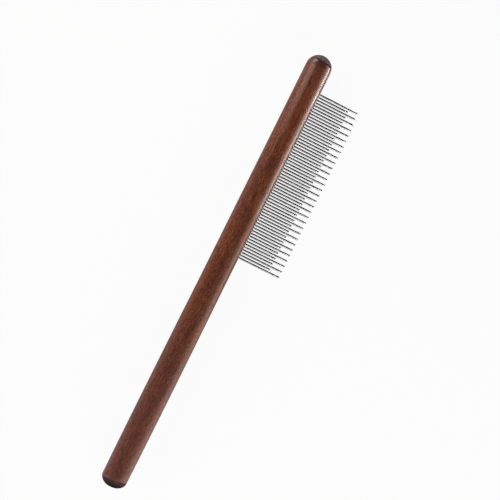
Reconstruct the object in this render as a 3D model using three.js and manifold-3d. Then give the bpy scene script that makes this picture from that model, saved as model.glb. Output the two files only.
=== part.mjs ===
// Round-handled grooming comb: one turned hardwood rod with a single straight row of
// steel wire pins, long and short by turns, each seated in its own drilled hole.
//
// Millimetres. The comb lies at rest on a level surface, +Z up. +X runs along the rod
// towards the comb end, the pins point to -Y and slope down until the long ones meet
// the surface. The origin is the centre of the bottom of the whole comb's box.

import * as THREE from 'three';
import { mergeVertices } from 'three/addons/utils/BufferGeometryUtils.js';
import Module from 'manifold-3d';

const wasm = await Module();
wasm.setup();

// ---- Driving dimensions (mm, degrees) ----

// Rod
const ROD_LENGTH = 211.2;
const COMB_RADIUS = 5.82;          // straight part that carries the pins
const SWELL_RADIUS = 5.96;         // fullest part of the grip
const BUTT_RADIUS = 5.85;          // where the butt dome starts
const BUTT_DOME = 4.27;            // height of the flattened butt dome
const BUTT_FLAT_RADIUS = 1.5;      // small flat at the middle of the butt
const COMB_POLE_RADIUS = 0.6;      // first ring of the round comb end
const ROD_SIDES = 32;

// Distance from the comb-end tip and rod radius, between the two domes
const ROD_STATIONS = [
  [COMB_RADIUS, COMB_RADIUS],
  [112, COMB_RADIUS],
  [130, 5.92],
  [160, SWELL_RADIUS],
  [188, 5.93],
  [ROD_LENGTH - BUTT_DOME, BUTT_RADIUS],
];

// Pins
const PIN_COUNT = 61;              // 31 long and 30 short by turns, long at both ends
const ROW_LENGTH = 80;             // first pin axis to last pin axis
const FIRST_PIN = 16.05;           // comb-end tip to the first pin axis
const PIN_RADIUS = 0.425;
const PIN_CHAMFER = 0.12;
const LONG_REACH = 26.2;           // rod axis to a long pin's tip
const SHORT_REACH = 20.9;          // rod axis to a short pin's tip
const SEAT_DEPTH = 8;              // length of a pin inside the wood
const PIN_SIDES = 8;
const PIN_SLOPE = 12;              // how far the pins slope below level at rest

// Seats
const SEAT_GAP = 0.03;             // all round each pin
const SEAT_END_GAP = 0.15;         // below each pin's inner end

// Bridge that joins the two outermost pins at each end of the row inside the rod
const BRIDGE_WIDTH = 0.4;
const BRIDGE_HEIGHT = 0.8;
const BRIDGE_GAP = 0.05;

const PITCH = ROW_LENGTH / (PIN_COUNT - 1);
const PIN_ROOT = COMB_RADIUS - SEAT_DEPTH;   // inner end of every pin, from the rod axis

// ---- Helpers ----

const rad = THREE.MathUtils.degToRad;

// A closed three.js geometry as a solid, with its shared vertices merged.
function solid(geometry) {
  const g = geometry.clone();
  g.deleteAttribute('normal');
  g.deleteAttribute('uv');
  const merged = mergeVertices(g, 1e-5);
  return new wasm.Manifold(new wasm.Mesh({
    numProp: 3,
    vertProperties: new Float32Array(merged.getAttribute('position').array),
    triVerts: new Uint32Array(merged.index.array),
  }));
}

// A solid as a three.js geometry with flat faces.
function geometryOf(body) {
  const mesh = body.getMesh();
  const g = new THREE.BufferGeometry();
  const p = new Float32Array((mesh.vertProperties.length / mesh.numProp) * 3);
  for (let i = 0; i < p.length / 3; i++)
    for (let k = 0; k < 3; k++)
      p[3 * i + k] = mesh.vertProperties[mesh.numProp * i + k];
  g.setAttribute('position', new THREE.BufferAttribute(p, 3));
  g.setIndex([...mesh.triVerts]);
  const flat = g.toNonIndexed();
  flat.computeVertexNormals();
  return flat;
}

// A profile of [radius, height] pairs turned about Y. The radii are those of the
// round piece, and each flat of the turned solid lies at that distance.
function turned(profile, sides) {
  const grow = 1 / Math.cos(Math.PI / sides);
  return new THREE.LatheGeometry(
    profile.map(([r, y]) => new THREE.Vector2(r * grow, y)),
    sides, Math.PI / sides, 2 * Math.PI);
}

// ---- Rod ----

// Heights run from the butt (0) to the comb-end tip (ROD_LENGTH).
function rodProfile() {
  const p = [[0, 0]];
  // butt: a flattened dome around a small flat
  const start = Math.asin(BUTT_FLAT_RADIUS / BUTT_RADIUS);
  for (let i = 0; i <= 5; i++) {
    const a = start + (i / 6) * (Math.PI / 2 - start);
    p.push([
      BUTT_RADIUS * Math.sin(a),
      BUTT_DOME * (1 - Math.cos(a) / Math.cos(start)),
    ]);
  }
  for (const [d, r] of [...ROD_STATIONS].reverse()) p.push([r, ROD_LENGTH - d]);
  // comb end: a full round
  const first = Math.asin(COMB_POLE_RADIUS / COMB_RADIUS);
  for (let i = 5; i >= 0; i--) {
    const a = first + (i / 6) * (Math.PI / 2 - first);
    p.push([
      COMB_RADIUS * Math.sin(a),
      ROD_LENGTH - COMB_RADIUS * (1 - Math.cos(a) / Math.cos(first)),
    ]);
  }
  p.push([0, ROD_LENGTH]);
  return p;
}

// Place along the row, on the rod axis, of pin number i from 0 at the comb end.
const pinX = (i) => ROD_LENGTH / 2 - FIRST_PIN - i * PITCH;

// A pin standing along -Y, from its seat end to its tip, on the rod axis.
function pinGeometry(reach) {
  const g = turned([
    [0, PIN_ROOT],
    [PIN_RADIUS, PIN_ROOT],
    [PIN_RADIUS, reach - PIN_CHAMFER],
    [PIN_RADIUS - PIN_CHAMFER, reach],
    [0, reach],
  ], PIN_SIDES);
  g.rotateX(Math.PI);
  return g;
}

// The drilled seat of a pin, running out past the rod's surface.
function seatGeometry() {
  const r = PIN_RADIUS + SEAT_GAP;
  const g = turned([
    [0, PIN_ROOT - SEAT_END_GAP],
    [r, PIN_ROOT - SEAT_END_GAP],
    [r, COMB_RADIUS + 2],
    [0, COMB_RADIUS + 2],
  ], PIN_SIDES);
  g.rotateX(Math.PI);
  return g;
}

// The bar between two neighbouring pins at their seat ends, centred between them.
function bridgeGeometry(gap) {
  const g = new THREE.BoxGeometry(
    PITCH, BRIDGE_HEIGHT + 2 * gap, BRIDGE_WIDTH + 2 * gap);
  g.translate(0, -(PIN_ROOT + 0.2 + BRIDGE_HEIGHT / 2), 0);
  return g;
}

function rodGeometry() {
  const blank = turned(rodProfile(), ROD_SIDES);
  blank.rotateZ(-Math.PI / 2);                 // along +X, comb end forward
  blank.translate(-ROD_LENGTH / 2, 0, 0);
  let rod = solid(blank);
  const slope = rad(PIN_SLOPE);
  for (let i = 0; i < PIN_COUNT; i++) {
    const seat = seatGeometry();
    seat.translate(pinX(i), 0, 0);
    seat.rotateX(slope);
    rod = rod.subtract(solid(seat));
  }
  for (const i of [0.5, PIN_COUNT - 1.5]) {
    const slot = bridgeGeometry(BRIDGE_GAP);
    slot.translate(pinX(i), 0, 0);
    slot.rotateX(slope);
    rod = rod.subtract(solid(slot));
  }
  return geometryOf(rod);
}

// Two neighbouring pins and their bridge as one body, centred between the pins.
function pairGeometry(leftReach, rightReach) {
  const left = pinGeometry(leftReach);
  left.translate(-PITCH / 2, 0, 0);
  const right = pinGeometry(rightReach);
  right.translate(PITCH / 2, 0, 0);
  return geometryOf(solid(left).add(solid(bridgeGeometry(0))).add(solid(right)));
}

// ---- Materials ----

const wood = new THREE.MeshStandardMaterial({ color: 0x6b3a2a, roughness: 0.38, metalness: 0 });
const steel = new THREE.MeshStandardMaterial({ color: 0xc3c4c6, roughness: 0.25, metalness: 1 });

// ---- Assembly ----

const comb = new THREE.Group();

// The rod axis lies level, high enough for the grip to meet the surface, and set back
// so that the origin is midway between the rod's back and the long pins' tips.
const slope = rad(PIN_SLOPE);
const farthest = LONG_REACH * Math.cos(slope) + (PIN_RADIUS - PIN_CHAMFER) * Math.sin(slope);
const axis = new THREE.Group();
axis.position.set(0, (farthest - SWELL_RADIUS) / 2, SWELL_RADIUS);
comb.add(axis);

const rod = new THREE.Mesh(rodGeometry(), wood);
rod.name = 'handle_rod';
axis.add(rod);

const row = new THREE.Group();
row.rotation.x = slope;
axis.add(row);

const longPin = pinGeometry(LONG_REACH);
const shortPin = pinGeometry(SHORT_REACH);
const number = (n) => String(n).padStart(2, '0');

for (let i = 2; i < PIN_COUNT - 2; i++) {
  const long = i % 2 === 0;
  const pin = new THREE.Mesh(long ? longPin : shortPin, steel.clone());
  pin.name = (long ? 'long_pin_' : 'short_pin_') + number(Math.floor(i / 2) + 1);
  pin.position.x = pinX(i);
  row.add(pin);
}

// The outermost long and short pin at each end of the row.
const combEndPair = new THREE.Mesh(pairGeometry(SHORT_REACH, LONG_REACH), steel.clone());
combEndPair.name = 'pin_pair_comb_end';
combEndPair.position.x = pinX(0.5);
row.add(combEndPair);

const gripEndPair = new THREE.Mesh(pairGeometry(LONG_REACH, SHORT_REACH), steel.clone());
gripEndPair.name = 'pin_pair_grip_end';
gripEndPair.position.x = pinX(PIN_COUNT - 1.5);
row.add(gripEndPair);

export default comb;
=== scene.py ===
import math

import bmesh
import bpy
import numpy as np
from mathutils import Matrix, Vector


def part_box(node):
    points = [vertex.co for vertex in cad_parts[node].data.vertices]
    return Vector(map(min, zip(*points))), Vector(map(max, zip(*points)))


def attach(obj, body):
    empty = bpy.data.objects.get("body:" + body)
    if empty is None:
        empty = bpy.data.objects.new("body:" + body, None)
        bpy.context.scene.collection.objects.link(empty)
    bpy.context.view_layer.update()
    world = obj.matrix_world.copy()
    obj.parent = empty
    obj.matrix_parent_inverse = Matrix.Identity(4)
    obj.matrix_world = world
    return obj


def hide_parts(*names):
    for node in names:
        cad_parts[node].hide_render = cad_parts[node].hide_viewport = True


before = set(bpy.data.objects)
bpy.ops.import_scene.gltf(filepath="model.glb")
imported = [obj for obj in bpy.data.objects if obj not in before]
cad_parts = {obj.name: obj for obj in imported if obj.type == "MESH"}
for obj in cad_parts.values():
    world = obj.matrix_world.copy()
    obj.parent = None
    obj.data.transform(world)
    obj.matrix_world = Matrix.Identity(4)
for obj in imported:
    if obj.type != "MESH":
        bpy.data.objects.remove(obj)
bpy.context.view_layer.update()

MM = 0.001

# ---------------------------------------------------------------------------
# Where things are, from the frame. Sizes are in millimetres.
# ---------------------------------------------------------------------------

rod_lo, rod_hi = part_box("handle_rod")
AXIS_Y = (rod_lo.y + rod_hi.y) / 2 / MM
AXIS_Z = (rod_lo.z + rod_hi.z) / 2 / MM
TIP_X = rod_hi.x / MM                    # comb-end tip
LENGTH = (rod_hi.x - rod_lo.x) / MM

COMB_RADIUS = 5.82
BUTT_RADIUS = 5.85
BUTT_DOME = 4.27
BUTT_FLAT_RADIUS = 1.5
STATIONS = [(COMB_RADIUS, COMB_RADIUS), (112.0, COMB_RADIUS), (130.0, 5.92),
            (160.0, 5.96), (188.0, 5.93), (LENGTH - BUTT_DOME, BUTT_RADIUS)]

PIN_COUNT = 61
PITCH = 80.0 / 60
FIRST_PIN = 16.05
PIN_RADIUS = 0.425
LONG_REACH, SHORT_REACH = 26.2, 20.9
PIN_ROOT = -2.18
SLOPE = math.radians(12)

ALONG = np.array([1.0, 0.0, 0.0])
OUT = np.array([0.0, -math.cos(SLOPE), -math.sin(SLOPE)])     # the way the pins point
ACROSS = np.cross(ALONG, OUT)
AXIS = np.array([0.0, AXIS_Y, AXIS_Z])


def pin_x(i):
    return TIP_X - FIRST_PIN - i * PITCH


def pin_name(i):
    kind = "long" if i % 2 == 0 else "short"
    return "%s_pin_%02d" % (kind, i // 2 + 1)


def pin_node(i):
    if i < 2:
        return "pin_pair_comb_end"
    if i > PIN_COUNT - 3:
        return "pin_pair_grip_end"
    return pin_name(i)


for i in range(2, PIN_COUNT - 2):
    lo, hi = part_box(pin_node(i))
    assert abs((lo.x + hi.x) / 2 / MM - pin_x(i)) < 0.02, pin_node(i)


def new_object(name, verts, faces, material, smooth=True):
    mesh = bpy.data.meshes.new(name)
    mesh.from_pydata([tuple(v) for v in np.asarray(verts) * MM], [], faces)
    mesh.validate()
    bm = bmesh.new()
    bm.from_mesh(mesh)
    bmesh.ops.recalc_face_normals(bm, faces=bm.faces)
    bm.to_mesh(mesh)
    bm.free()
    mesh.polygons.foreach_set("use_smooth", [smooth] * len(mesh.polygons))
    mesh.materials.append(material)
    mesh.update()
    obj = bpy.data.objects.new(name, mesh)
    bpy.context.scene.collection.objects.link(obj)
    return obj


# ---------------------------------------------------------------------------
# Node helpers
# ---------------------------------------------------------------------------

class Graph:
    """A small wrapper that makes node trees readable."""

    def __init__(self, tree):
        self.tree = tree
        self.nodes = tree.nodes
        self.links = tree.links

    def node(self, kind, **inputs):
        n = self.nodes.new(kind)
        for key, value in inputs.items():
            if key.startswith("p_"):
                setattr(n, key[2:], value)
        for key, value in inputs.items():
            if not key.startswith("p_"):
                self.put(n.inputs[key.replace("_", " ")], value)
        return n

    def put(self, socket, value):
        if hasattr(value, "links") or hasattr(value, "is_output"):
            self.links.new(value, socket)
        else:
            socket.default_value = value

    def math(self, op, a, b=0.0, c=0.0, clamp=False):
        n = self.nodes.new("ShaderNodeMath")
        n.operation = op
        n.use_clamp = clamp
        self.put(n.inputs[0], a)
        self.put(n.inputs[1], b)
        if len(n.inputs) > 2:
            self.put(n.inputs[2], c)
        return n.outputs[0]

    def vmath(self, op, a, b=(0, 0, 0), out=0):
        n = self.nodes.new("ShaderNodeVectorMath")
        n.operation = op
        self.put(n.inputs[0], a)
        self.put(n.inputs[1], b)
        return n.outputs[out]

    def scale(self, v, s):
        return self.vmath("MULTIPLY", v, s)

    def ramp(self, x, a, b, lo=0.0, hi=1.0, smooth=True):
        n = self.nodes.new("ShaderNodeMapRange")
        n.interpolation_type = "SMOOTHSTEP" if smooth else "LINEAR"
        n.clamp = True
        self.put(n.inputs["Value"], x)
        self.put(n.inputs["From Min"], a)
        self.put(n.inputs["From Max"], b)
        self.put(n.inputs["To Min"], lo)
        self.put(n.inputs["To Max"], hi)
        return n.outputs["Result"]

    def noise(self, v, scale, detail=2.0, rough=0.5, distort=0.0, colour=False):
        n = self.nodes.new("ShaderNodeTexNoise")
        n.noise_dimensions = "3D"
        self.put(n.inputs["Vector"], v)
        n.inputs["Scale"].default_value = scale
        n.inputs["Detail"].default_value = detail
        n.inputs["Roughness"].default_value = rough
        n.inputs["Distortion"].default_value = distort
        return n.outputs["Color" if colour else "Fac"]

    def mix(self, fac, a, b, blend="MIX"):
        n = self.nodes.new("ShaderNodeMix")
        n.data_type = "RGBA"
        n.blend_type = blend
        n.clamp_factor = True
        self.put(n.inputs[0], fac)
        self.put(n.inputs[6], a)
        self.put(n.inputs[7], b)
        return n.outputs[2]

    def colours(self, x, stops):
        n = self.nodes.new("ShaderNodeValToRGB")
        n.color_ramp.interpolation = "LINEAR"
        e = n.color_ramp.elements
        e[0].position, e[0].color = stops[0][0], (*stops[0][1], 1)
        e[1].position, e[1].color = stops[-1][0], (*stops[-1][1], 1)
        for p, c in stops[1:-1]:
            k = e.new(p)
            k.color = (*c, 1)
        self.put(n.inputs[0], x)
        return n.outputs[0]


def material(name):
    m = bpy.data.materials.new(name)
    m.use_nodes = True
    m.node_tree.nodes.clear()
    g = Graph(m.node_tree)
    out = g.nodes.new("ShaderNodeOutputMaterial")
    bsdf = g.nodes.new("ShaderNodeBsdfPrincipled")
    g.links.new(bsdf.outputs[0], out.inputs[0])
    return m, g, bsdf


# ---------------------------------------------------------------------------
# Stained, satin-finished hardwood, solid through the piece
# ---------------------------------------------------------------------------

def wood_material():
    m, g, bsdf = material("satin_hardwood")
    coord = g.nodes.new("ShaderNodeTexCoord").outputs["Object"]
    mm = g.scale(coord, (1000, 1000, 1000))
    p = g.vmath("SUBTRACT", mm, (0.0, AXIS_Y, AXIS_Z))       # mm from the rod axis
    sep = g.nodes.new("ShaderNodeSeparateXYZ")
    g.links.new(p, sep.inputs[0])
    x, y, z = sep.outputs

    # the grain wanders slowly, and runs a few degrees off the line of the rod
    wander = g.noise(g.scale(p, (0.010, 0.05, 0.05)), 1.0, 2.0, 0.5, colour=True)
    wander = g.scale(g.vmath("SUBTRACT", wander, (0.5, 0.5, 0.5)), (0.0, 8.0, 8.0))
    q = g.vmath("ADD", p, wander)
    q = g.vmath("ADD", q, g.vmath("MULTIPLY", comb3(g, x, x, x), (0.0, 0.030, -0.022)))

    def field(size, seed, detail, rough):
        """Grain-shaped noise, spread out to 0 to 1: features of about that many mm along and across."""
        v = g.vmath("ADD", g.scale(q, (1.0 / size[0], 1.0 / size[1], 1.0 / size[1])), seed)
        return g.ramp(g.noise(v, 1.0, detail, rough), 0.30, 0.70, smooth=False)

    figure = field((20.0, 3.0), (0.0, 0.0, 0.0), 3.0, 0.60)      # broad patches
    streak = field((9.0, 1.05), (3.1, 7.7, 1.3), 3.0, 0.65)      # grain lines
    dash = field((2.7, 0.72), (9.4, 2.2, 5.8), 2.0, 0.60)        # short dashes of figure
    speck = field((0.95, 0.42), (4.9, 6.1, 8.3), 2.0, 0.65)       # the finest marks
    grit = field((0.52, 0.30), (6.2, 1.4, 3.3), 1.0, 0.50)
    hue = field((3.6, 0.9), (1.7, 8.8, 3.9), 2.0, 0.60)

    tone = g.math("MULTIPLY_ADD", figure, 0.17, -0.585)
    tone = g.math("MULTIPLY_ADD", streak, 0.15, tone)
    tone = g.math("MULTIPLY_ADD", dash, 0.51, tone)
    tone = g.math("MULTIPLY_ADD", speck, 1.00, tone)
    tone = g.math("MULTIPLY_ADD", grit, 0.35, tone)
    # a darker band along the top, in patches: partly a growth ring in the wood, partly painted shade on the
    # top
    line = g.math("MULTIPLY", g.ramp(y, 3.6, 0.4), g.ramp(y, -4.4, -1.6))
    line = g.math("MULTIPLY", line, g.ramp(z, 0.0, 3.0))
    patch = g.ramp(g.noise(g.scale(q, (0.062, 0.16, 0.16)), 1.0, 2.0, 0.6), 0.42, 0.64)
    line = g.math("MULTIPLY", line, patch)
    tone = g.math("MULTIPLY_ADD", line, -0.17, tone)
    blotch = g.math("MULTIPLY", g.ramp(y, 2.6, 0.2), g.ramp(y, -4.2, -1.8))
    blotch = g.math("MULTIPLY", blotch, g.ramp(z, 0.0, 3.0))
    small = g.noise(g.scale(g.vmath("ADD", q, (5.0, 3.0, 9.0)), (0.125, 0.36, 0.36)), 1.0, 3.0, 0.65)
    blotch = g.math("MULTIPLY", blotch, g.ramp(small, 0.50, 0.66))
    grip = g.ramp(x, 20.0, -80.0)
    blotch = g.math("MULTIPLY", blotch, g.math("MULTIPLY_ADD", grip, 1.1, 1.0))
    tone = g.math("MULTIPLY_ADD", blotch, -0.15, tone)
    base = g.colours(tone, [
        (0.14, (0.097, 0.020, 0.008)),
        (0.36, (0.222, 0.052, 0.019)),
        (0.56, (0.364, 0.092, 0.033)),
        (0.76, (0.520, 0.143, 0.052)),
    ])
    # orange areas, most of them on the side away from the pins: partly the wood's colour, partly a painted
    # highlight that lightens that side
    orange_and_painted_light = g.ramp(g.noise(g.scale(q, (0.050, 0.36, 0.36)), 1.0, 3.0, 0.6), 0.44, 0.66)
    orange_and_painted_light = g.math("MULTIPLY", orange_and_painted_light, g.ramp(y, -4.0, 3.0, 0.42, 1.0))
    orange_and_painted_light = g.math("MULTIPLY", orange_and_painted_light, g.ramp(x, -70.0, 20.0, 0.25, 1.0))
    base = g.mix(g.math("MULTIPLY", orange_and_painted_light, 0.66), base, (0.500, 0.130, 0.033, 1))
    # golden brown areas, most of them on the side of the pins
    gold = g.ramp(g.noise(g.scale(g.vmath("ADD", q, (3.0, 41.0, 17.0)), (0.085, 0.42, 0.42)),
                          1.0, 3.0, 0.6), 0.36, 0.62)
    gold = g.math("MULTIPLY", gold, g.ramp(y, 3.0, -2.0, 0.20, 1.0))
    gold = g.math("MULTIPLY", gold, g.ramp(x, -70.0, 20.0, 0.30, 1.0))
    base = g.mix(g.math("MULTIPLY", gold, 0.42), base, (0.400, 0.130, 0.036, 1))
    # cooler, plum areas
    cool = g.ramp(g.noise(g.scale(g.vmath("ADD", q, (37.0, 11.0, 5.0)), (0.045, 0.34, 0.34)),
                          1.0, 3.0, 0.6), 0.48, 0.70)
    base = g.mix(g.math("MULTIPLY", cool, 0.45), base, (0.205, 0.060, 0.036, 1))
    # small marks that lean red or brown
    base = g.mix(g.math("MULTIPLY", g.ramp(hue, 0.50, 0.90), 0.38), base, (0.365, 0.070, 0.034, 1))
    base = g.mix(g.math("MULTIPLY", g.ramp(hue, 0.45, 0.05), 0.22), base, (0.229, 0.084, 0.030, 1))
    # the stain takes a little redder and duller towards the butt
    base = g.mix(g.math("MULTIPLY", grip, 0.42), base, (0.268, 0.100, 0.080, 1))

    # open pores: dark grooves 1 to 4 mm long and 0.1 to 0.3 mm wide, thicker in places
    pore_a = g.noise(g.vmath("ADD", g.scale(q, (0.42, 3.3, 3.3)), (2.0, 5.0, 9.0)), 1.0, 1.0, 0.5)
    pore_b = g.noise(g.vmath("ADD", g.scale(q, (0.75, 7.5, 7.5)), (13.0, 3.1, 7.7)), 1.0, 1.0, 0.4)
    density = g.noise(g.scale(q, (0.07, 0.45, 0.45)), 1.0, 2.0, 0.5)
    cut = g.math("MULTIPLY_ADD", density, -0.22, 0.72)
    pores = g.ramp(pore_a, cut, g.math("ADD", cut, 0.08))
    fine = g.ramp(pore_b, g.math("ADD", cut, 0.01), g.math("ADD", cut, 0.07))
    base = g.mix(g.math("MULTIPLY", pores, 0.75), base, (0.050, 0.014, 0.009, 1))
    base = g.mix(g.math("MULTIPLY", fine, 0.55), base, (0.050, 0.014, 0.009, 1))
    pores = g.math("MAXIMUM", pores, fine)

    # the grain evened to one mid colour along the side of the pins in the comb part: painted light, copying
    # how the highlight there hides the grain
    evened_pin_side = g.math("MULTIPLY", g.ramp(y, -3.0, -4.6), g.ramp(x, -15.0, 30.0))
    base = g.mix(g.math("MULTIPLY", evened_pin_side, 0.55), base, (0.270, 0.088, 0.042, 1))
    # painted shade along the rod's edge on the side of the pins: dark grey along the row of seats, turning to
    # a lighter painted reflection of grey towards the comb end
    toward = g.vmath("DOT_PRODUCT", p, tuple(OUT / COMB_RADIUS), out=1)
    pin_edge_shade = g.math("MULTIPLY", g.ramp(toward, 0.68, 0.86), g.ramp(x, -15.0, 15.0))
    base = g.mix(g.math("MULTIPLY", pin_edge_shade, 0.60), base,
                 g.mix(g.ramp(x, 80.0, 94.0), (0.085, 0.050, 0.042, 1), (0.165, 0.142, 0.134, 1)))

    # end grain drinks the stain: greyer and darker at each end, with an uneven edge
    edge = g.noise(g.scale(p, (0.10, 0.42, 0.42)), 1.0, 2.0, 0.6)
    edge = g.math("MULTIPLY_ADD", edge, 1.0, -0.5)
    s = g.math("SUBTRACT", LENGTH / 2, x)                     # from the comb-end tip
    s = g.math("ADD", g.math("MULTIPLY_ADD", y, 0.10, s), edge)
    comb_end = g.ramp(s, 3.20, 2.75)
    from_butt = g.math("ADD", x, LENGTH / 2)
    b = g.math("ADD", g.math("MULTIPLY_ADD", y, 0.12, from_butt), edge)
    butt_end = g.ramp(b, 3.95, 2.95)
    # a near-black rim round the butt, weaker on the side of the pins: partly dark end grain, partly painted
    # shade
    butt_rim = g.math("MULTIPLY", g.ramp(b, 2.5, 1.3), g.ramp(y, -5.5, -1.0, 0.45, 1.0))
    rim = g.math("MULTIPLY", g.ramp(s, 3.35, 2.85), g.ramp(s, 2.0, 2.7))
    rim = g.math("MULTIPLY", rim, g.ramp(y, 4.0, 0.5))
    grain_dots = g.noise(g.scale(p, (1.1, 1.7, 1.7)), 1.0, 3.0, 0.65)
    dots = g.ramp(grain_dots, 0.36, 0.64)
    # a darker band 6 to 15 mm from the comb-end tip, from the middle round to the side of the pins
    collar = g.math("MULTIPLY", g.ramp(s, 15.0, 6.0), g.ramp(y, 3.2, 0.5))
    base = g.mix(g.math("MULTIPLY", collar, 0.30), base, (0.110, 0.036, 0.024, 1))
    cap = g.mix(dots, (0.190, 0.114, 0.114, 1), (0.540, 0.385, 0.385, 1))
    # painted shade: the cap darker on the side of the pins
    cap = g.mix(g.math("MULTIPLY", g.ramp(y, -0.5, -4.0), 0.60), cap, (0.100, 0.055, 0.052, 1))
    base = g.mix(comb_end, base, cap)
    base = g.mix(g.math("MULTIPLY", rim, 0.85), base, (0.062, 0.021, 0.019, 1))
    base = g.mix(g.math("MULTIPLY", g.ramp(b, 6.5, 4.0), 0.50), base, (0.245, 0.100, 0.086, 1))
    base = g.mix(g.math("MULTIPLY", butt_end, 0.88), base,
                 g.mix(dots, (0.036, 0.018, 0.018, 1), (0.072, 0.038, 0.038, 1)))
    base = g.mix(g.math("MULTIPLY", butt_rim, 0.94), base, (0.006, 0.004, 0.004, 1))
    g.links.new(base, bsdf.inputs["Base Color"])

    # satin finish: it bridges the fibres and sinks into the pores
    dull_butt = g.ramp(g.math("MULTIPLY_ADD", y, -0.05, b), 4.5, 3.4)
    dull_cap = g.ramp(g.math("MULTIPLY_ADD", y, 0.05, s), 3.45, 2.85)
    dull = g.math("MAXIMUM", dull_butt, dull_cap)
    rough = g.math("MULTIPLY_ADD", dash, 0.08, 0.24)
    rough = g.math("MULTIPLY_ADD", speck, 0.08, rough)
    rough = g.math("MULTIPLY_ADD", pores, 0.18, rough)
    rough = g.math("MULTIPLY_ADD", dull, 0.48, rough)
    g.links.new(rough, bsdf.inputs["Roughness"])
    g.links.new(g.math("MULTIPLY_ADD", dull, -1.0, 1.0), bsdf.inputs["Coat Weight"])
    bsdf.inputs["Coat Roughness"].default_value = 0.26
    level = g.math("MULTIPLY_ADD", dull_butt, -0.34, 0.5)
    level = g.math("MULTIPLY_ADD", dull_cap, -0.25, level)
    g.links.new(level, bsdf.inputs["Specular IOR Level"])
    bsdf.inputs["Coat IOR"].default_value = 1.55
    bsdf.inputs["IOR"].default_value = 1.55

    height = g.math("MULTIPLY_ADD", pores, -0.014, 0.0)
    height = g.math("MULTIPLY_ADD", speck, 0.002, height)
    height = g.math("MULTIPLY_ADD", dash, 0.004, height)
    height = g.math("MULTIPLY_ADD", streak, 0.008, height)
    bump = g.nodes.new("ShaderNodeBump")
    bump.inputs["Strength"].default_value = 1.0
    bump.inputs["Distance"].default_value = 0.001
    g.links.new(height, bump.inputs["Height"])
    g.links.new(bump.outputs[0], bsdf.inputs["Normal"])
    film = g.nodes.new("ShaderNodeBump")
    film.inputs["Strength"].default_value = 0.20
    film.inputs["Distance"].default_value = 0.001
    g.links.new(height, film.inputs["Height"])
    g.links.new(film.outputs[0], bsdf.inputs["Coat Normal"])
    return m


def comb3(g, a, b, c):
    n = g.nodes.new("ShaderNodeCombineXYZ")
    for value, socket in zip((a, b, c), n.inputs):
        g.links.new(value, socket)
    return n.outputs[0]


# ---------------------------------------------------------------------------
# Drawn and polished steel wire
# ---------------------------------------------------------------------------

def steel_material():
    m, g, bsdf = material("steel_wire")
    coord = g.nodes.new("ShaderNodeTexCoord").outputs["Object"]
    mm = g.scale(coord, (1000, 1000, 1000))
    p = g.vmath("SUBTRACT", mm, (0.0, AXIS_Y, AXIS_Z))
    # turned so that the second coordinate runs along a pin
    along = g.vmath("DOT_PRODUCT", p, tuple(OUT), out=1)
    across = g.vmath("DOT_PRODUCT", p, tuple(ACROSS), out=1)
    sep = g.nodes.new("ShaderNodeSeparateXYZ")
    g.links.new(p, sep.inputs[0])
    cn = g.nodes.new("ShaderNodeCombineXYZ")
    g.links.new(sep.outputs[0], cn.inputs[0])
    g.links.new(along, cn.inputs[1])
    g.links.new(across, cn.inputs[2])
    q = cn.outputs[0]
    draw = g.noise(g.scale(q, (14.0, 0.22, 14.0)), 1.0, 2.0, 0.6)      # die lines
    smear = g.noise(g.scale(q, (1.1, 0.10, 1.1)), 1.0, 2.0, 0.5)       # from pin to pin
    spots = g.noise(g.scale(q, (5.0, 2.2, 5.0)), 1.0, 2.0, 0.6)
    tint = g.math("MULTIPLY_ADD", draw, 0.34, g.math("MULTIPLY_ADD", smear, 0.30, 0.14))
    base = g.colours(tint, [(0.20, (0.45, 0.45, 0.455)), (0.46, (0.65, 0.65, 0.655)),
                            (0.70, (0.79, 0.79, 0.785))])
    # the cut ends are rougher and duller
    normal = g.nodes.new("ShaderNodeNewGeometry").outputs["True Normal"]
    end = g.ramp(g.vmath("DOT_PRODUCT", normal, tuple(OUT), out=1), 0.55, 0.9)
    base = g.mix(g.math("MULTIPLY", end, 0.5), base, (0.34, 0.335, 0.33, 1))
    g.links.new(base, bsdf.inputs["Base Color"])
    bsdf.inputs["Metallic"].default_value = 1.0
    rough = g.math("MULTIPLY_ADD", draw, 0.14, 0.12)
    rough = g.math("MULTIPLY_ADD", g.ramp(spots, 0.55, 0.75), 0.05, rough)
    rough = g.math("MULTIPLY_ADD", end, 0.16, rough)
    g.links.new(rough, bsdf.inputs["Roughness"])
    bump = g.nodes.new("ShaderNodeBump")
    bump.inputs["Strength"].default_value = 1.0
    bump.inputs["Distance"].default_value = 0.001
    g.links.new(g.math("MULTIPLY", draw, 0.0035), bump.inputs["Height"])
    g.links.new(bump.outputs[0], bsdf.inputs["Normal"])
    return m


WOOD = wood_material()
STEEL = steel_material()

# ---------------------------------------------------------------------------
# The rod: one turned piece with 61 drilled seats
# ---------------------------------------------------------------------------

SEAT_RADIUS = PIN_RADIUS + 0.015
SIDE = 8                       # segments along each side of a seat's square cell
AROUND = 116                   # segments round the rest of the rod
DRILL_END = PIN_ROOT - 0.15


def station_radius(s):
    """The rod's radius at s mm from the comb-end tip, between the domes: a smooth curve through the stations that never rises above them."""
    xs = np.array([a for a, _ in STATIONS])
    ys = np.array([b for _, b in STATIONS])
    h = np.diff(xs)
    d = np.diff(ys) / h
    m = np.zeros(len(xs))
    for k in range(1, len(xs) - 1):
        if d[k - 1] * d[k] > 0:
            w1, w2 = 2 * h[k] + h[k - 1], h[k] + 2 * h[k - 1]
            m[k] = (w1 + w2) / (w1 / d[k - 1] + w2 / d[k])
    k = min(max(int(np.searchsorted(xs, s) - 1), 0), len(h) - 1)
    t = (s - xs[k]) / h[k]
    return ((1 + 2 * t) * (1 - t) ** 2 * ys[k] + t * (1 - t) ** 2 * h[k] * m[k]
            + t * t * (3 - 2 * t) * ys[k + 1] + t * t * (t - 1) * h[k] * m[k + 1])


def ring_point(s, radius, theta):
    c, n = math.cos(theta), math.sin(theta)
    return AXIS + ALONG * (TIP_X - s) + radius * (c * OUT + n * ACROSS)


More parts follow.
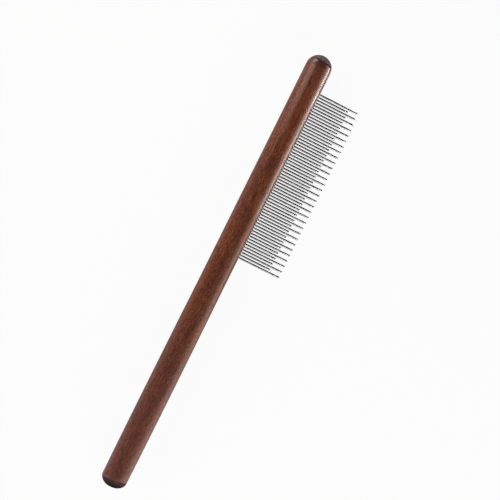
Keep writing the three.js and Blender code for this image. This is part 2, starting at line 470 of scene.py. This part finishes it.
def make_rod():
    verts, faces = [], []

    def add(v):
        verts.append(v)
        return len(verts) - 1

    half = PITCH / 2
    lateral = [half * (2 * k / SIDE - 1) for k in range(SIDE + 1)]
    strip = [math.asin(t / COMB_RADIUS) for t in lateral]
    rest = [strip[-1] + (2 * math.pi - 2 * strip[-1]) * k / AROUND for k in range(1, AROUND)]
    thetas = strip + rest                     # one full turn, strip first
    n = len(thetas)

    def ring(s, radius):
        return [add(ring_point(s, radius, t)) for t in thetas]

    def bridge(a, b):
        for k in range(n):
            j = (k + 1) % n
            faces.append((a[k], a[j], b[j], b[k]))

    # comb end
    tip = add(ring_point(0.0, 0.0, 0.0))
    rings = []
    steps = 30
    for k in range(1, steps):
        a = math.pi / 2 * k / steps
        rings.append(ring(COMB_RADIUS * (1 - math.cos(a)), COMB_RADIUS * math.sin(a)))
    first = rings[0]
    for k in range(n):
        faces.append((tip, first[k], first[(k + 1) % n]))
    # plain stretch up to the first seat's cell
    row_start = FIRST_PIN - half
    for k in range(9):
        s = COMB_RADIUS + (row_start - COMB_RADIUS) * k / 9
        rings.append(ring(s, COMB_RADIUS))
    for a, b in zip(rings, rings[1:]):
        bridge(a, b)
    last = rings[-1]

    # the row of seats
    fore = ring(row_start, COMB_RADIUS)
    bridge(last, fore)
    corners = []                               # (x, t) of the cell's outline, from its fore edge round
    for k in range(SIDE):
        corners.append((half, lateral[k]))
    for k in range(SIDE):
        corners.append((half - PITCH * k / SIDE, half))
    for k in range(SIDE):
        corners.append((-half, lateral[SIDE - k]))
    for k in range(SIDE):
        corners.append((-half + PITCH * k / SIDE, -half))
    angles = [math.atan2(t, dx) for dx, t in corners]
    count = len(corners)
    for i in range(PIN_COUNT):
        aft = ring(row_start + (i + 1) * PITCH, COMB_RADIUS)
        centre = FIRST_PIN + i * PITCH
        right = [add(ring_point(centre - (half - PITCH * k / SIDE), COMB_RADIUS, strip[-1]))
                 for k in range(1, SIDE)]
        left = [add(ring_point(centre - (-half + PITCH * k / SIDE), COMB_RADIUS, strip[0]))
                for k in range(1, SIDE)]
        outline = (fore[0:SIDE] + [fore[SIDE]] + right
                   + [aft[SIDE - k] for k in range(SIDE)] + [aft[0]] + left)
        # the rest of the turn, in long flat faces that meet the cell's sides
        faces.append(tuple([fore[SIDE]] + right + [aft[SIDE], aft[SIDE + 1], fore[SIDE + 1]]))
        for k in range(SIDE + 1, n - 1):
            faces.append((fore[k], fore[k + 1], aft[k + 1], aft[k]))
        faces.append(tuple([fore[n - 1], aft[n - 1], aft[0]] + left + [fore[0]]))

        def circle(radius, depth, blend=0.0, flat=None):
            out = []
            for (dx, t), a in zip(corners, angles):
                cx, ct = radius * math.cos(a), radius * math.sin(a)
                cx, ct = cx + (dx - cx) * blend, ct + (t - ct) * blend
                h = math.sqrt(COMB_RADIUS ** 2 - ct * ct) - depth if flat is None else flat
                out.append(add(AXIS + ALONG * (TIP_X - centre + cx) + h * OUT + ct * ACROSS))
            return out

        loops = [outline,
                 circle(0.56, 0.0, 0.45),
                 circle(0.53, 0.0),
                 circle(0.478, 0.0),
                 circle(0.460, 0.004),
                 circle(0.447, 0.014),
                 circle(SEAT_RADIUS, 0.034),
                 circle(SEAT_RADIUS, 0.4),
                 circle(SEAT_RADIUS, 0, flat=2.0),
                 circle(SEAT_RADIUS, 0, flat=DRILL_END)]
        for a, b in zip(loops, loops[1:]):
            for k in range(count):
                j = (k + 1) % count
                faces.append((a[k], a[j], b[j], b[k]))
        point = add(AXIS + ALONG * (TIP_X - centre) + (DRILL_END - 0.22) * OUT)
        for k in range(count):
            faces.append((loops[-1][k], loops[-1][(k + 1) % count], point))
        fore = aft

    # the grip
    last = fore
    s0 = row_start + PIN_COUNT * PITCH
    s1 = LENGTH - BUTT_DOME
    steps = 72
    for k in range(1, steps + 1):
        s = s0 + (s1 - s0) * k / steps
        r = ring(s, station_radius(s) if s > COMB_RADIUS else COMB_RADIUS)
        bridge(last, r)
        last = r
    # the butt: a flattened dome that runs out into a small flat
    start = math.asin(BUTT_FLAT_RADIUS / BUTT_RADIUS)
    profile = []
    steps = 30
    for k in range(steps - 1, -1, -1):
        a = start + (k / steps) * (math.pi / 2 - start)
        profile.append([BUTT_RADIUS * math.sin(a), BUTT_DOME * (1 - math.cos(a) / math.cos(start))])
    for r in (1.25, 1.0, 0.75, 0.4):
        profile.append([r, 0.0])
    profile = np.array(profile)
    for _ in range(4):                         # ease the edge of the flat
        inner = (profile[:-2] + 2 * profile[1:-1] + profile[2:]) / 4
        keep = profile.copy()
        keep[1:-1] = inner
        keep[:20] = profile[:20]
        profile = keep
    for r_, h in profile:
        r = ring(LENGTH - h, r_)
        bridge(last, r)
        last = r
    end = add(ring_point(LENGTH, 0.0, 0.0))
    for k in range(n):
        faces.append((last[(k + 1) % n], last[k], end))
    return new_object("wood_rod", verts, faces, WOOD)


rod = make_rod()
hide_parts("handle_rod")
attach(rod, "root")


# ---------------------------------------------------------------------------
# The pins: 61 separate lengths of wire, cut and tumbled
# ---------------------------------------------------------------------------

PIN_SIDES = 28


def make_pin(i):
    reach = LONG_REACH if i % 2 == 0 else SHORT_REACH
    ease = 0.136
    profile = []
    for k in range(4):                         # seat end
        a = math.pi / 2 * k / 3
        profile.append((PIN_RADIUS - ease + ease * math.sin(a), PIN_ROOT + ease * (1 - math.cos(a))))
    for h in (2.0, 5.4, 5.9, 9.0, 13.0, 17.0):
        profile.append((PIN_RADIUS, h))
    for k in range(6):                         # free end
        a = math.pi / 2 * k / 5
        profile.append((PIN_RADIUS - ease + ease * math.cos(a), reach - ease + ease * math.sin(a)))
    profile.append((PIN_RADIUS - ease - 0.05, reach))
    origin = AXIS + ALONG * pin_x(i)
    verts, faces = [], []
    for r, h in profile:
        for k in range(PIN_SIDES):
            a = 2 * math.pi * k / PIN_SIDES
            verts.append(origin + OUT * h + r * (math.cos(a) * ALONG + math.sin(a) * ACROSS))
    for j in range(len(profile) - 1):
        for k in range(PIN_SIDES):
            n = (k + 1) % PIN_SIDES
            faces.append((j * PIN_SIDES + k, j * PIN_SIDES + n,
                          (j + 1) * PIN_SIDES + n, (j + 1) * PIN_SIDES + k))
    verts.append(origin + OUT * PIN_ROOT)
    verts.append(origin + OUT * reach)
    a, b = len(verts) - 2, len(verts) - 1
    top = (len(profile) - 1) * PIN_SIDES
    for k in range(PIN_SIDES):
        n = (k + 1) % PIN_SIDES
        faces.append((n, k, a))
        faces.append((top + k, top + n, b))
    kind = "long" if i % 2 == 0 else "short"
    pin = new_object("%s_wire_%02d" % (kind, i // 2 + 1), verts, faces, STEEL)
    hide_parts(pin_node(i))
    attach(pin, "root")
    return pin


for i in range(PIN_COUNT):
    make_pin(i)

# ---------------------------------------------------------------------------
# Floor, lights, surroundings
# ---------------------------------------------------------------------------

scene = bpy.context.scene
scene.view_settings.view_transform = "Standard"
scene.view_settings.look = "None"
scene.view_settings.exposure = 0.0
scene.view_settings.gamma = 1.0


def make_floor():
    size = 6.0
    mesh = bpy.data.meshes.new("floor")
    mesh.from_pydata([(-size, -size, 0), (size, -size, 0), (size, size, 0), (-size, size, 0)],
                     [], [(0, 1, 2, 3)])
    floor = bpy.data.objects.new("floor", mesh)
    scene.collection.objects.link(floor)
    m = bpy.data.materials.new("pale_floor")
    m.use_nodes = True
    m.node_tree.nodes.clear()
    g = Graph(m.node_tree)
    out = g.nodes.new("ShaderNodeOutputMaterial")
    diffuse = g.nodes.new("ShaderNodeBsdfDiffuse")
    diffuse.inputs["Color"].default_value = (0.80, 0.80, 0.80, 1)
    paper = g.nodes.new("ShaderNodeBsdfDiffuse")
    paper.inputs["Color"].default_value = (0.05, 0.05, 0.05, 1)
    glow = g.nodes.new("ShaderNodeEmission")
    glow.inputs["Color"].default_value = (1, 1, 1, 1)
    glow.inputs["Strength"].default_value = 0.955
    add = g.nodes.new("ShaderNodeAddShader")
    g.links.new(paper.outputs[0], add.inputs[0])
    g.links.new(glow.outputs[0], add.inputs[1])
    ray = g.nodes.new("ShaderNodeLightPath")
    mix = g.nodes.new("ShaderNodeMixShader")
    g.links.new(ray.outputs["Is Camera Ray"], mix.inputs[0])
    g.links.new(diffuse.outputs[0], mix.inputs[1])
    g.links.new(add.outputs[0], mix.inputs[2])
    g.links.new(mix.outputs[0], out.inputs[0])
    mesh.materials.append(m)
    return floor


make_floor()


def softbox(name, at, size, radiance, toward, colour=(1, 1, 1)):
    """A rectangular area light of that radiance, its width level, facing a point. Metres."""
    data = bpy.data.lights.new(name, "AREA")
    data.shape = "RECTANGLE"
    data.size, data.size_y = size
    data.energy = 4.0 * size[0] * size[1] * radiance
    data.color = colour
    obj = bpy.data.objects.new(name, data)
    scene.collection.objects.link(obj)
    obj.location = at
    obj.rotation_mode = "QUATERNION"
    obj.rotation_quaternion = (Vector(toward) - Vector(at)).to_track_quat("-Z", "Y")
    obj.visible_camera = False
    return obj


def lamp(name, azimuth, elevation, distance, size, radiance, at=(0.0, 0.0, 0.0)):
    """A softbox that far from a point, in that direction (degrees), facing the point."""
    a, e = math.radians(azimuth), math.radians(elevation)
    place = Vector(at) + distance * Vector((math.cos(a) * math.cos(e), math.sin(a) * math.cos(e), math.sin(e)))
    return softbox(name, place, size, radiance, at)


def card(name, x0, x1, y0, y1, radiance, colour):
    """A glowing card that lies on the floor, facing up."""
    x, y = (x0 + x1) / 2, (y0 + y1) / 2
    return softbox(name, (x, y, 0.0004), (x1 - x0, y1 - y0), radiance, (x, y, 1.0), colour)


lamp("key_comb_end", 45, 13, 0.70, (0.40, 0.28), 2.2, (0.05, 0.01, 0.0))
lamp("fill_butt_back", 135, 18, 0.80, (0.45, 0.40), 3.4)
lamp("fill_butt_front", -135, 18, 0.80, (0.45, 0.40), 4.1)
lamp("strip_front", -90, 9, 0.80, (1.2, 0.24), 0.35)
lamp("pin_side", -160, 24, 0.75, (0.22, 0.36), 1.3)
softbox("small_back", (0.120, 0.175, 0.122), (0.06, 0.19), 1.42, (0.10, 0.01, 0.005), (1.0, 0.80, 0.72))
softbox("strip_comb", (0.095, -0.50, 0.088), (0.17, 0.13), 0.45, (0.07, 0.004, 0.01), (1.0, 0.86, 0.68))
card("card_comb_end", 0.085, 0.135, -0.054, -0.015, 6.2, (1.0, 1.0, 1.02))
card("card_row_a", 0.055, 0.085, -0.058, -0.016, 3.5, (1.0, 1.0, 1.0))
card("card_row_b", 0.030, 0.055, -0.058, -0.016, 2.65, (1.0, 0.97, 0.93))
card("card_middle", -0.020, 0.030, -0.064, -0.016, 1.05, (1.0, 0.84, 0.72))
card("card_grip", -0.120, -0.020, -0.10, -0.004, 0.34, (1.0, 0.86, 0.75))

world = bpy.data.worlds.new("studio")
scene.world = world
world.use_nodes = True
wt = world.node_tree
wt.nodes.clear()
wg = Graph(wt)
w_out = wg.nodes.new("ShaderNodeOutputWorld")
room = wg.nodes.new("ShaderNodeBackground")
room.inputs["Color"].default_value = (1, 1, 1, 1)
room.inputs["Strength"].default_value = 0.03
sweep = wg.nodes.new("ShaderNodeBackground")
sweep.inputs["Color"].default_value = (1, 1, 1, 1)
sweep.inputs["Strength"].default_value = 1.0
w_ray = wg.nodes.new("ShaderNodeLightPath")
w_mix = wg.nodes.new("ShaderNodeMixShader")
wg.links.new(w_ray.outputs["Is Camera Ray"], w_mix.inputs[0])
wg.links.new(room.outputs[0], w_mix.inputs[1])
wg.links.new(sweep.outputs[0], w_mix.inputs[2])
wg.links.new(w_mix.outputs[0], w_out.inputs[0])

# ---------------------------------------------------------------------------
# Camera: looking straight down on the comb
# ---------------------------------------------------------------------------

cam_data = bpy.data.cameras.new("camera")
cam_data.type = "PERSP"
cam_data.sensor_width = 36.0
cam_data.lens = 244.7
cam_data.clip_start = 0.05
cam_data.clip_end = 20.0
cam_data.dof.use_dof = False
camera = bpy.data.objects.new("camera", cam_data)
scene.collection.objects.link(camera)
camera.location = (0.01479, 0.001183, 1.5)
camera.rotation_mode = "XYZ"
camera.rotation_euler = (0.0, 0.0, math.radians(-63.57))
scene.camera = camera
